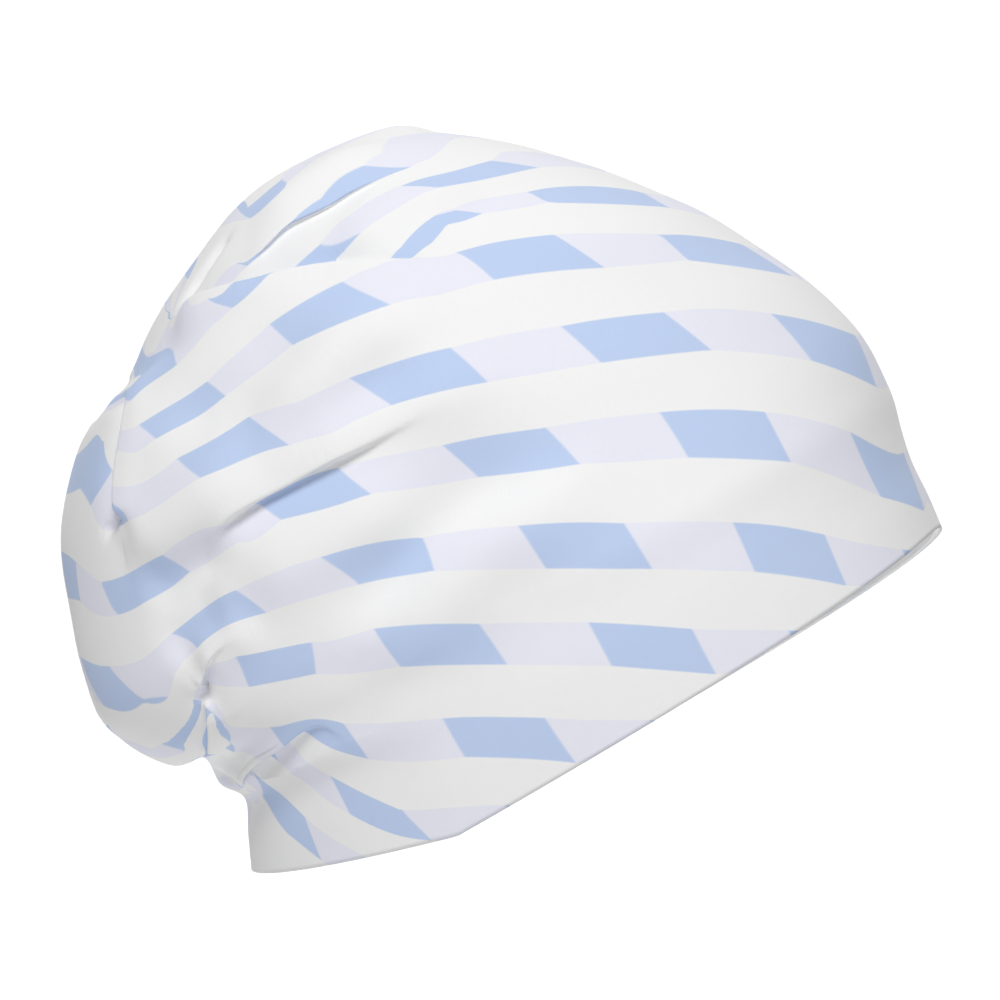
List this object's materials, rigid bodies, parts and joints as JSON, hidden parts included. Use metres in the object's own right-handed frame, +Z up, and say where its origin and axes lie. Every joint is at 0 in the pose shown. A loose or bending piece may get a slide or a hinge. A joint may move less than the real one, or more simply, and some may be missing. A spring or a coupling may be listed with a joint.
{
  "type": "knit hat",
  "caption": "Slouchy jersey beanie in its worn form: an open, hemmed rim tilted down to the nape, folds fanning from the nape and a soft slouch hanging behind the head",
  "frame": {"origin": "middle of the head opening, halfway between the rim's points at the brow and at the nape, where the head fills the hat", "axes": "+Z up as the hat is worn, -Y towards the brow, +Y towards the back and the slouch, -X towards the wearer's right side"},
  "size_m": [0.1779, 0.225, 0.1895],
  "materials": {
    "printed_jersey": "matte fine jersey, white with a pale blue and lavender print"
  },
  "bodies": {
    "root": {"crown": "printed_jersey"}
  },
  "joints": []
}
